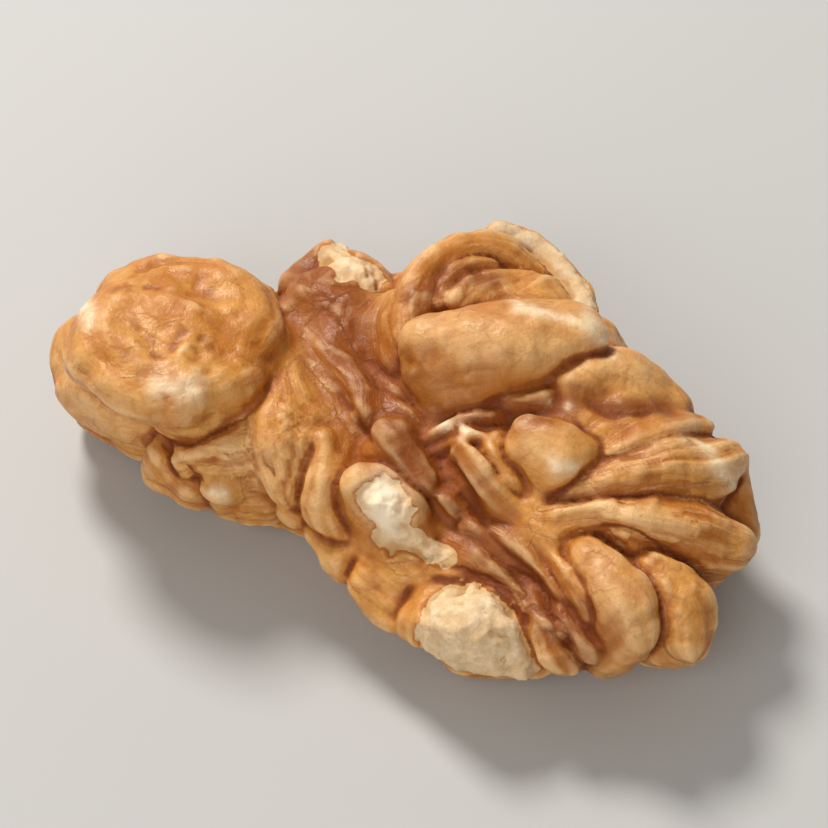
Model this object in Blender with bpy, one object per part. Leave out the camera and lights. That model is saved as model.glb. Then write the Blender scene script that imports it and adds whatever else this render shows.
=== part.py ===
"""Walnut kernel: one broken half of a shelled walnut, lying on its inner side.

The kernel grew as one piece, so it is one solid. Two lobes lie either side of a groove, and an isthmus
joins them under it. Each lobe is a thick body with rounded folds of seed leaf growing out of it.
Lengths are in millimetres up to the last step, which turns them into metres.
+X runs along the kernel, from the round head to the fan of ribs. +Y is across it and +Z is up.
"""

import bpy
import bmesh
from mathutils import Matrix, Vector

MM = 0.001
BEAD_STEP = 0.5          # distance between the beads that fill out a fold
BEAD_DIVISIONS = 3
ROOT_REACH = 0.45        # how far a fold's root goes from its ridge towards the body
VOXEL = 0.3              # grid on which the folds are joined
WARP_SIZE = 4.5          # width of one swell in the uneven growth
WARP_DEPTH = 0.4
SMOOTH_STEPS = 2
KEEP = 0.11              # share of the faces kept when the surface is thinned out
FOOT_CUT = 0.3           # depth that the lowest folds are worn flat where the kernel rests
CENTRE_SHIFT = (-0.2, -1.8)

# Each fold is a rounded ridge through these points: x, y, z and the ridge's radius there.
LOBE_BODIES = {
    "head_lobe": [(-13.1, 0.4, 5.2, 3.4), (-9.5, 0.6, 5.2, 3.8), (-5.2, -1.0, 4.9, 3.4),
                  (-0.2, -3.3, 4.4, 2.7), (4.9, -5.0, 4.0, 2.4), (8.2, -5.5, 3.8, 1.9)],
    "fan_lobe": [(-0.2, 7.4, 5.6, 3.2), (3.5, 6.6, 5.4, 4.0), (7.9, 4.2, 5.2, 4.2),
                 (11.2, 2.0, 4.8, 4.0), (13.4, -0.8, 4.0, 2.9)],
    "fan_inner": [(2.4, 2.2, 5.6, 2.6), (6.0, 1.0, 5.2, 3.3), (9.0, -1.4, 4.8, 2.9)],
    "isthmus": [(-5.4, 5.0, 5.9, 2.6), (-2.8, 2.3, 5.9, 2.5), (0.3, 0.1, 5.8, 2.4),
                (3.3, -1.4, 5.4, 2.2), (5.6, -3.0, 4.9, 2.0), (8.6, -4.0, 4.4, 1.9),
                (11.4, -4.4, 3.8, 1.7)],
    "fan_skirt": [(-1.6, 8.6, 3.8, 2.2), (1.0, 9.0, 3.2, 2.3), (4.0, 8.6, 3.0, 2.5),
                  (7.4, 7.0, 2.9, 2.5), (10.4, 4.8, 2.8, 2.4), (12.8, 2.0, 2.8, 2.3),
                  (13.2, -1.0, 2.9, 2.1)],
    "head_skirt": [(-13.4, 0.8, 3.2, 2.5), (-11.4, 2.0, 3.0, 2.5), (-8.8, 2.4, 3.0, 2.3),
                   (-6.2, 1.8, 3.6, 2.0)],
}

SEEN_FOLDS = {
    "head": [(-12.2, -0.8, 7.7, 3.1), (-9.5, -0.8, 7.7, 3.1)],
    "head_rim": [(-7.4, -1.0, 8.3, 1.8), (-8.3, 1.2, 8.1, 1.9), (-10.8, 2.4, 8.0, 1.9),
                 (-13.3, 1.4, 8.0, 1.8), (-14.2, -1.0, 8.2, 1.6), (-13.1, -3.2, 8.5, 1.7),
                 (-10.8, -4.2, 8.7, 1.8), (-8.6, -3.3, 8.6, 1.8), (-7.4, -1.0, 8.3, 1.8)],
    "collar": [(-15.0, -1.0, 5.6, 2.1), (-14.2, -2.1, 5.2, 2.2), (-12.9, -2.5, 4.8, 2.2),
               (-11.3, -2.5, 4.6, 2.0)],
    "flank": [(-8.1, -4.1, 4.8, 1.8), (-6.4, -3.4, 5.2, 2.0), (-4.3, -3.0, 5.4, 2.1)],
    "flank_lobe": [(-9.6, -4.8, 4.2, 1.3), (-7.9, -5.2, 3.9, 1.4)],
    "chin": [(-6.5, -5.0, 3.6, 1.3), (-4.8, -4.4, 3.6, 1.4)],
    "chin_bead": [(-6.3, -5.7, 4.9, 0.7), (-6.0, -5.8, 5.0, 0.7)],
    "shoulder": [(-4.8, -1.2, 7.0, 1.4), (-3.8, -2.9, 6.6, 1.6), (-2.9, -4.2, 5.5, 1.5)],
    "shoulder_side": [(-2.4, -2.6, 7.0, 1.0), (-1.3, -4.1, 6.3, 1.2), (-0.6, -5.1, 5.3, 1.2)],
    "edge_bead_1": [(-2.6, -5.1, 4.6, 0.9), (-2.3, -5.1, 4.5, 0.9)],
    "edge_bead_2": [(-0.8, -5.6, 4.2, 1.0), (0.2, -6.1, 3.9, 1.2)],
    "edge_bead_3": [(1.9, -6.4, 3.9, 1.2), (3.9, -7.0, 3.8, 1.2)],
    "broken_tip": [(5.1, -7.2, 4.0, 1.4), (7.2, -7.1, 4.2, 2.2), (9.1, -6.8, 3.6, 1.4)],
    "broken_knob": [(0.9, -3.8, 6.9, 1.6), (1.5, -4.2, 6.6, 1.7), (3.2, -4.7, 5.5, 1.2),
                    (4.4, -4.5, 5.1, 1.0)],
    "low_strip": [(5.4, -4.8, 5.6, 1.1), (7.7, -5.5, 5.2, 1.1), (10.0, -6.1, 4.6, 1.0),
                  (11.2, -6.9, 4.0, 0.9)],
    "high_strip": [(5.2, -3.2, 6.2, 0.9), (7.9, -4.2, 5.8, 0.9), (10.3, -5.0, 5.2, 0.9),
                   (12.4, -5.9, 4.4, 0.9)],
    "sliver": [(9.1, -3.4, 6.6, 0.6), (10.6, -4.4, 6.2, 0.7), (12.1, -5.1, 5.8, 0.7),
               (13.5, -5.7, 5.0, 0.7)],
    "almond": [(11.5, -3.4, 6.6, 1.3), (13.1, -4.3, 6.2, 1.6), (14.2, -5.0, 5.6, 1.3)],
    "almond_side": [(14.3, -2.4, 6.0, 1.2), (15.7, -3.1, 5.4, 1.6), (16.3, -4.1, 4.6, 1.3)],
    "seam_ridge": [(-4.0, 1.8, 7.7, 0.7), (-2.4, 0.9, 7.9, 0.7), (-1.5, -0.4, 7.8, 0.7)],
    "seam_bump": [(0.5, -1.5, 7.6, 1.2), (2.1, -2.3, 7.2, 1.1)],
    "seam_wall": [(-1.7, 2.2, 7.7, 0.7), (0.5, 0.4, 7.5, 0.7)],
    "seam_tail": [(3.8, -2.8, 7.0, 0.8), (4.8, -3.0, 6.6, 0.7)],
    "back_fold": [(-0.3, 3.2, 8.2, 1.2), (-1.3, 4.9, 8.3, 1.3), (-1.5, 7.0, 8.2, 1.4),
                  (-0.9, 9.3, 7.9, 1.4), (0.6, 10.4, 7.5, 1.3), (2.2, 10.4, 7.1, 1.0)],
    "back_middle": [(-0.4, 5.6, 8.5, 0.8), (-0.3, 7.6, 8.5, 0.9), (0.6, 9.0, 8.2, 0.8)],
    "back_inner": [(0.4, 6.2, 8.4, 1.1), (1.1, 8.0, 8.2, 1.1), (2.5, 9.1, 7.6, 1.1)],
    "back_rim": [(-0.4, 12.2, 6.9, 0.8), (1.2, 12.5, 6.8, 0.8), (3.0, 11.7, 6.7, 0.8),
                 (4.7, 10.2, 6.9, 0.8)],
    "back_chip": [(-6.8, 7.8, 6.6, 0.9), (-5.4, 7.3, 6.6, 0.9)],
    "crown": [(1.2, 3.1, 8.7, 2.1), (3.4, 4.0, 9.1, 2.5), (5.9, 5.7, 8.8, 2.2)],
    "cheek": [(7.6, 4.6, 8.3, 1.8), (9.0, 5.7, 7.4, 1.9)],
    "pinch_1": [(2.3, -0.1, 8.3, 0.5), (2.9, 0.6, 8.6, 0.6), (4.2, 1.2, 8.7, 0.6)],
    "pinch_2": [(2.9, -0.6, 8.3, 0.5), (3.8, -0.1, 8.5, 0.5)],
    "pinch_3": [(5.0, 1.9, 8.9, 0.6), (6.7, 2.8, 8.9, 0.6)],
    "knuckle": [(6.6, 0.5, 8.4, 1.3), (8.3, 0.5, 8.2, 1.6)],
    "knuckle_side": [(9.2, 2.3, 7.8, 1.2), (9.9, 3.9, 7.6, 1.1), (10.8, 5.5, 7.0, 1.1)],
    "wedge": [(3.2, -0.7, 8.4, 0.7), (4.8, -1.4, 8.0, 1.0), (6.3, -2.0, 7.2, 0.8)],
    "wedge_back": [(4.8, 0.1, 8.0, 1.0), (6.1, -0.8, 7.6, 1.0)],
    "fan_top": [(10.3, 1.5, 7.9, 0.9), (11.4, 3.1, 7.5, 1.0), (12.5, 5.0, 6.8, 0.9)],
    "fan_middle": [(8.8, -0.6, 7.6, 0.8), (11.5, 0.8, 7.5, 1.4), (13.4, 2.8, 6.7, 1.7),
                   (14.2, 4.4, 5.9, 1.4)],
    "fan_low": [(9.2, -1.6, 7.2, 0.8), (12.4, -0.7, 6.9, 1.4), (14.6, 0.1, 6.1, 1.7),
                (15.9, 0.9, 5.2, 1.6)],
    "fan_edge": [(14.7, 4.2, 5.2, 1.2), (15.6, 2.6, 4.6, 1.3)],
}

HIDDEN_FOLDS = {
    "nape": [(-13.4, 2.2, 6.2, 2.2), (-14.6, 3.0, 4.4, 2.2), (-14.2, 3.0, 3.0, 1.9)],
    "nape_side": [(-9.4, 2.8, 6.2, 2.2), (-9.8, 4.0, 4.4, 2.0), (-9.6, 3.8, 2.6, 1.8)],
    "nape_low": [(-12.4, 3.9, 4.2, 1.3), (-11.8, 4.3, 2.9, 1.4), (-11.2, 3.6, 1.9, 1.4)],
    "neck_back": [(-7.4, 3.0, 5.8, 1.8), (-7.2, 4.2, 4.4, 1.6), (-7.0, 3.6, 3.0, 1.6)],
    "isthmus_back": [(-5.4, 6.6, 5.8, 2.2), (-4.6, 8.0, 3.8, 1.7), (-3.8, 8.2, 2.6, 1.4)],
    "rim_ribs_1": [(-2.0, 10.2, 6.0, 1.5), (-1.6, 11.0, 4.2, 1.6), (-1.4, 10.4, 2.2, 1.6)],
    "rim_ribs_2": [(0.8, 11.6, 4.8, 1.4), (1.0, 11.4, 3.2, 1.5), (1.2, 10.4, 2.1, 1.4)],
    "rim_ribs_3": [(3.0, 8.6, 7.4, 1.6), (3.4, 10.2, 5.4, 1.6), (3.6, 10.2, 3.4, 1.6), (3.2, 9.2, 2.0, 1.6)],
    "rim_ribs_4": [(5.4, 9.2, 5.6, 1.3), (6.0, 9.4, 3.6, 1.4), (5.6, 8.4, 2.0, 1.5)],
    "rim_ribs_5": [(6.6, 8.0, 6.8, 1.6), (8.2, 8.0, 4.6, 1.6), (8.2, 7.6, 2.8, 1.6), (7.8, 6.8, 1.8, 1.4)],
    "rim_ribs_6": [(10.0, 6.0, 5.6, 1.5), (10.8, 6.6, 4.0, 1.4), (10.4, 5.8, 2.2, 1.6)],
    "rim_ribs_7": [(12.6, 5.0, 4.6, 1.3), (12.6, 4.8, 3.0, 1.3), (12.0, 4.0, 2.0, 1.4)],
    "rim_ribs_8": [(14.2, 3.4, 4.0, 1.5), (14.4, 2.4, 2.6, 1.5)],
    "rim_ribs_9": [(15.0, 0.6, 3.8, 1.5), (14.4, 0.2, 2.2, 1.6)],
    "fan_foot": [(14.4, -1.6, 3.4, 1.7), (13.4, -2.2, 2.0, 1.9)],
    "valley_foot": [(11.4, -3.6, 3.0, 1.5), (9.6, -3.4, 2.6, 1.3)],
    "tip_foot": [(6.8, -6.0, 2.1, 2.1), (9.4, -5.6, 2.6, 1.6)],
    "flank_foot": [(-7.0, -2.4, 2.2, 1.9), (-3.2, -2.6, 2.2, 1.8), (0.6, -3.6, 2.3, 1.8),
                   (3.4, -4.7, 2.4, 1.7)],
    "collar_foot": [(-14.0, -0.8, 2.3, 2.0), (-11.6, -1.8, 2.4, 2.0)],
    "under_head": [(-12.2, 0.4, 1.9, 1.4), (-9.6, 1.0, 1.7, 1.4), (-7.0, 0.2, 1.9, 1.3)],
    "under_fan_1": [(-0.4, 7.6, 1.9, 1.3), (3.6, 7.0, 1.6, 1.4), (7.4, 5.0, 1.6, 1.4), (10.8, 2.4, 1.8, 1.3)],
    "under_fan_2": [(0.8, 5.2, 2.3, 1.3), (4.0, 4.6, 1.9, 1.4), (7.4, 2.6, 1.8, 1.4), (10.4, 0.0, 2.0, 1.3)],
    "under_fan_3": [(3.4, 2.2, 3.0, 1.2), (6.6, 0.6, 2.6, 1.3), (9.4, -1.6, 2.5, 1.2)],
}


def clear_scene():
    for obj in list(bpy.data.objects):
        bpy.data.objects.remove(obj)


def smooth_path(points, step):
    """Points about one step apart on a smooth curve through the given ones; each holds x, y, z, radius."""
    ends = [2 * Vector(points[0]) - Vector(points[1])]
    ends += [Vector(p) for p in points]
    ends += [2 * Vector(points[-1]) - Vector(points[-2])]
    path = []
    for a, b, c, d in zip(ends, ends[1:], ends[2:], ends[3:]):
        count = max(1, round((c.xyz - b.xyz).length / step))
        for i in range(count):
            t = i / count
            path.append(0.5 * (2 * b + (c - a) * t + (2 * a - 5 * b + 4 * c - d) * t ** 2
                               + (3 * b - 3 * c + d - a) * t ** 3))
    return path + [Vector(points[-1])]


def bead_shape():
    """Points and faces of a ball of radius one."""
    bm = bmesh.new()
    bmesh.ops.create_icosphere(bm, subdivisions=BEAD_DIVISIONS, radius=1)
    points = [v.co.copy() for v in bm.verts]
    faces = [[v.index for v in face.verts] for face in bm.faces]
    bm.free()
    return points, faces


def fold_beads():
    """Beads for the bodies, then for each fold: a ridge whose root reaches towards the nearest body."""
    cores = [p for points in LOBE_BODIES.values() for p in smooth_path(points, BEAD_STEP)]
    beads = list(cores)
    for folds in (SEEN_FOLDS, HIDDEN_FOLDS):
        for points in folds.values():
            for p in smooth_path(points, BEAD_STEP):
                core = min(cores, key=lambda c: (c.xyz - p.xyz).length)
                root = p.xyz.lerp(core.xyz, ROOT_REACH)
                beads += [p, Vector((*root, p.w))]
    return beads


def pellicle_material():
    material = bpy.data.materials.new("pellicle")
    material.use_nodes = True
    shader = material.node_tree.nodes["Principled BSDF"]
    shader.inputs["Base Color"].default_value = (0.46, 0.22, 0.07, 1)
    shader.inputs["Roughness"].default_value = 0.42
    shader.inputs["Metallic"].default_value = 0.0
    return material


def make_ground_cutter():
    """A block whose top is level with the flats that the kernel rests on."""
    bm = bmesh.new()
    bmesh.ops.create_cube(bm, size=1, matrix=Matrix.Diagonal((0.06, 0.06, 0.01, 1)))
    bmesh.ops.translate(bm, verts=bm.verts, vec=(0, 0, -0.005))
    mesh = bpy.data.meshes.new("ground_cutter")
    bm.to_mesh(mesh)
    bm.free()
    cutter = bpy.data.objects.new("ground_cutter", mesh)
    cutter.hide_render = True
    cutter.display_type = "WIRE"
    bpy.context.scene.collection.objects.link(cutter)
    return cutter


def make_kernel():
    shift = Vector((*CENTRE_SHIFT, -FOOT_CUT))
    ball, ball_faces = bead_shape()
    points, faces = [], []
    for bead in fold_beads():
        faces += [[i + len(points) for i in face] for face in ball_faces]
        points += [(bead.xyz + shift + bead.w * p) * MM for p in ball]
    mesh = bpy.data.meshes.new("walnut_kernel")
    mesh.from_pydata(points, [], faces)
    kernel = bpy.data.objects.new("walnut_kernel", mesh)
    bpy.context.scene.collection.objects.link(kernel)
    mesh.materials.append(pellicle_material())

    joined = kernel.modifiers.new("join folds", "REMESH")
    joined.mode = "VOXEL"
    joined.voxel_size = VOXEL * MM
    joined.use_smooth_shade = True

    swells = bpy.data.textures.new("uneven growth", "CLOUDS")
    swells.noise_scale = WARP_SIZE * MM
    swells.noise_depth = 1
    swells.cloud_type = "COLOR"
    warp = kernel.modifiers.new("uneven growth", "DISPLACE")
    warp.texture = swells
    warp.texture_coords = "LOCAL"
    warp.direction = "RGB_TO_XYZ"
    warp.strength = WARP_DEPTH * MM * 2
    warp.mid_level = 0.5

    soften = kernel.modifiers.new("soften creases", "SMOOTH")
    soften.factor = 0.5
    soften.iterations = SMOOTH_STEPS

    thinned = kernel.modifiers.new("thin out", "DECIMATE")
    thinned.ratio = KEEP

    rest = kernel.modifiers.new("resting flats", "BOOLEAN")
    rest.operation = "DIFFERENCE"
    rest.solver = "EXACT"
    rest.object = make_ground_cutter()
    return kernel


clear_scene()
make_kernel()
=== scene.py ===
import math
import time
import bpy
import numpy as np
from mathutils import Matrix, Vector


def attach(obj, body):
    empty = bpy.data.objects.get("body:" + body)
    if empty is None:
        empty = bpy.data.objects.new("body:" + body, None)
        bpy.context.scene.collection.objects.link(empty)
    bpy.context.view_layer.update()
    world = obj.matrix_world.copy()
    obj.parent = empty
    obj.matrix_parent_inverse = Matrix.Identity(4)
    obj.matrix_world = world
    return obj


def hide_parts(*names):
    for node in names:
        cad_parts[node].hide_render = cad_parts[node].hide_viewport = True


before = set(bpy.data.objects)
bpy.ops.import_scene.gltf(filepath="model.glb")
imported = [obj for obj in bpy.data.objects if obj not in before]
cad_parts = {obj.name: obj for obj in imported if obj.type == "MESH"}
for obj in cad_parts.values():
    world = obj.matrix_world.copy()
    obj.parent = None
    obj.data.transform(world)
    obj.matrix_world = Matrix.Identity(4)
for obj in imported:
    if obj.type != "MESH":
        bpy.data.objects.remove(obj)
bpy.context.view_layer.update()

started = time.time()


def say(words):
    print(f"{time.time() - started:6.1f} s  {words}")


# The photograph looks down on the kernel from its front right.
photoView = {"azimuth": 25, "elevation": 52, "lens": 150, "distance": 0.16, "aim": (0.0, 0.0, 0.0052)}

# One walnut kernel. Lengths are in millimetres here, and the last step turns them into metres.
kernel = {
    "gridStep": 0.14,
    "gridBox": ((-18.6, -11.0, -0.5), (18.6, 14.6, 13.2)),
    "coarseStep": 0.6,
    "farAway": 9.0,                # more than any distance that counts
    "outside": 2.5,                # the distance that the grid starts from
    "foldReach": 2.4,              # how far out from its surface each fold is worked out, and each body
    "bodyReach": 2.6,
    "mostTriangles": 196000,
    "shift": (-0.2, -1.8, -0.3),   # from the folds' frame to the part's own frame
    "restHeight": 0.3,             # the lowest folds are flat below this height
    "bodyBlend": 1.2,              # how softly the bodies of the lobes run into each other
    "bodyJoin": 0.5,               # the same, between the folds and the bodies under them
    "foldJoin": 0.14,              # and between one fold and the next
    # folds that grew together, without a crease between them, and how softly they join
    "grownTogether": ((1.0, ("head", "headRim")), (0.6, ("flank", "shoulder", "chin", "chinBead")),
                      (0.9, ("backRim", "backWall")), (0.5, ("cheek", "knuckleSide")),
                      (0.4, ("seamBump", "seamTail")),
                      (0.3, ("rimRib1", "rimRib2", "rimRib3", "rimRib4"))),
    "swell": ((4.5, 0.45), (1.9, 0.2)),      # size and depth of the uneven growth
    # broken folds, where along the kernel the bare flesh starts and ends, and the side that is bare
    "brokenFolds": (("brokenTip", 5.2, 10.9, None), ("backRim", -20, 20, (0.3, -0.45, 0.84)),
                    ("backChip", -7.1, 20, None)),
    "smoothing": (0.5, 0.5, -0.3),
    "scar": (-1.5, 3.0, 3.0),      # where the other half of the kernel broke away underneath
    "scarSize": (2.4, 1.8, 1.8),
    "wallDepth": 2.2,              # how far down a fold's sides go, and how much they spread
    "wallFlare": 0.08,
}

# How the surface is carved. Each depth or size is in millimetres.
surface = {
    "creaseWidth": 0.17,
    "creaseDepth": 0.26,
    "lumps": ((1.5, 0.1), (0.7, 0.05)),      # size and height
    "streakHeight": 0.085,
    "ribHeight": 0.04,
    "wrinkleDepth": 0.11,
    "pleatDepth": 0.05,
    "fibreHeight": 0.1,            # the fibres of the groove, and the place they run out from
    "fibreMiddle": (0.6, 5.6),
    "fibreRoughness": 0.05,
    "headTop": (-10.9, -0.9, 9.6),           # the rough, pitted top of the head
    "headTopSize": (3.4, 3.2, 2.2),
    "headRoughness": 0.12,
    "pitSize": 0.8,
    "pitDepth": 0.12,
    "crumbSize": 0.75,             # the broken flesh
    "crumbTilt": 0.12,
    "smallCrumbSize": 0.32,
    "smallCrumbTilt": 0.06,
    "crumbPit": 0.1,
    "fleshSink": 0.02,
    "fleshEdgeSink": 0.16,
}

# The thick middle of each lobe: x, y, z and radius at each point.
bodies = {
    "headLobe": [(-13.1, 0.4, 5.2, 3.4), (-9.5, 0.6, 5.2, 3.8), (-5.2, -1.0, 4.9, 3.4),
                 (-0.2, -3.3, 4.4, 2.7), (4.9, -5.0, 4.0, 2.4), (8.2, -5.5, 3.8, 1.9)],
    "fanLobe": [(-0.2, 7.4, 5.6, 3.2), (3.5, 6.6, 5.4, 4.0), (7.9, 4.2, 5.2, 4.2),
                (11.2, 2.0, 4.8, 4.0), (13.4, -0.8, 4.0, 2.9)],
    "fanInner": [(2.4, 2.2, 5.6, 2.6), (6.0, 1.0, 5.2, 3.3), (9.0, -1.4, 4.8, 2.9)],
    "isthmus": [(-5.4, 5.0, 5.9, 2.6), (-2.8, 2.3, 5.9, 2.5), (0.3, 0.1, 5.8, 2.4),
                (3.3, -1.4, 5.4, 2.2), (5.6, -3.0, 4.9, 2.0), (8.6, -4.0, 4.4, 1.9),
                (11.4, -4.4, 3.8, 1.7)],
    "fanSkirt": [(-1.6, 8.6, 3.8, 2.2), (1.0, 9.0, 3.2, 2.3), (4.0, 8.6, 3.0, 2.5),
                 (7.4, 7.0, 2.9, 2.5), (10.4, 4.8, 2.8, 2.4), (12.8, 2.0, 2.8, 2.3),
                 (13.2, -1.0, 2.9, 2.1)],
    "headSkirt": [(-13.4, 0.8, 3.2, 2.5), (-11.4, 2.0, 3.0, 2.5), (-8.8, 2.4, 3.0, 2.3),
                  (-6.2, 1.8, 3.6, 2.0)],
}

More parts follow.
